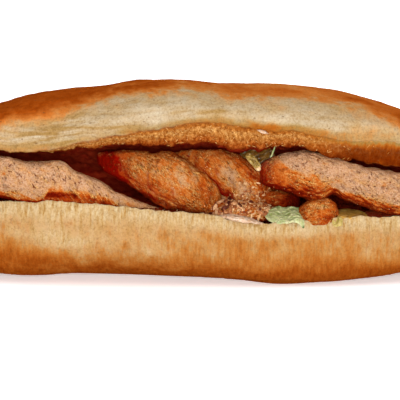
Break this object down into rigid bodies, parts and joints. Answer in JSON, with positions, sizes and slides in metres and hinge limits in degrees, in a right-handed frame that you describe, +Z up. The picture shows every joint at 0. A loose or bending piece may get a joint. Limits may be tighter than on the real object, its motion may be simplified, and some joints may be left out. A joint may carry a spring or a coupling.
{
  "type": "shish taouk sandwich",
  "caption": "Long white bread roll slit along its side and packed with grilled chicken, chopped chicken, lettuce, pickle, onion and tomato.",
  "frame": {"origin": "centre of the footprint, on the surface that the roll lies on", "axes": "+X along the roll, to the right when the open slit faces the viewer; +Y from the slit to the hinge at the back; +Z up"},
  "size_m": [0.25, 0.0818, 0.0839],
  "materials": {
    "bread": "soft baked crust, golden brown above and below, cream on the flanks",
    "chicken": "grilled and seasoned meat, slightly moist",
    "lettuce": "thin crisp leaf, slightly waxy",
    "pickle": "wet olive green",
    "onion": "wet and pale",
    "tomato": "wet red"
  },
  "bodies": {
    "root": {"roll": "bread", "chicken_strip_left": "chicken", "chicken_strip_right": "chicken", "chicken_chunk_left": "chicken", "chicken_slab_middle": "chicken", "chicken_nugget": "chicken", "chicken_chunk_back": "chicken", "chopped_chicken": "chicken", "lettuce_leaf": "lettuce", "lettuce_scrap": "lettuce", "onion_strip": "onion", "pickle_slice_top": "pickle", "pickle_slice_low": "pickle", "tomato_slice": "tomato"}
  },
  "joints": []
}
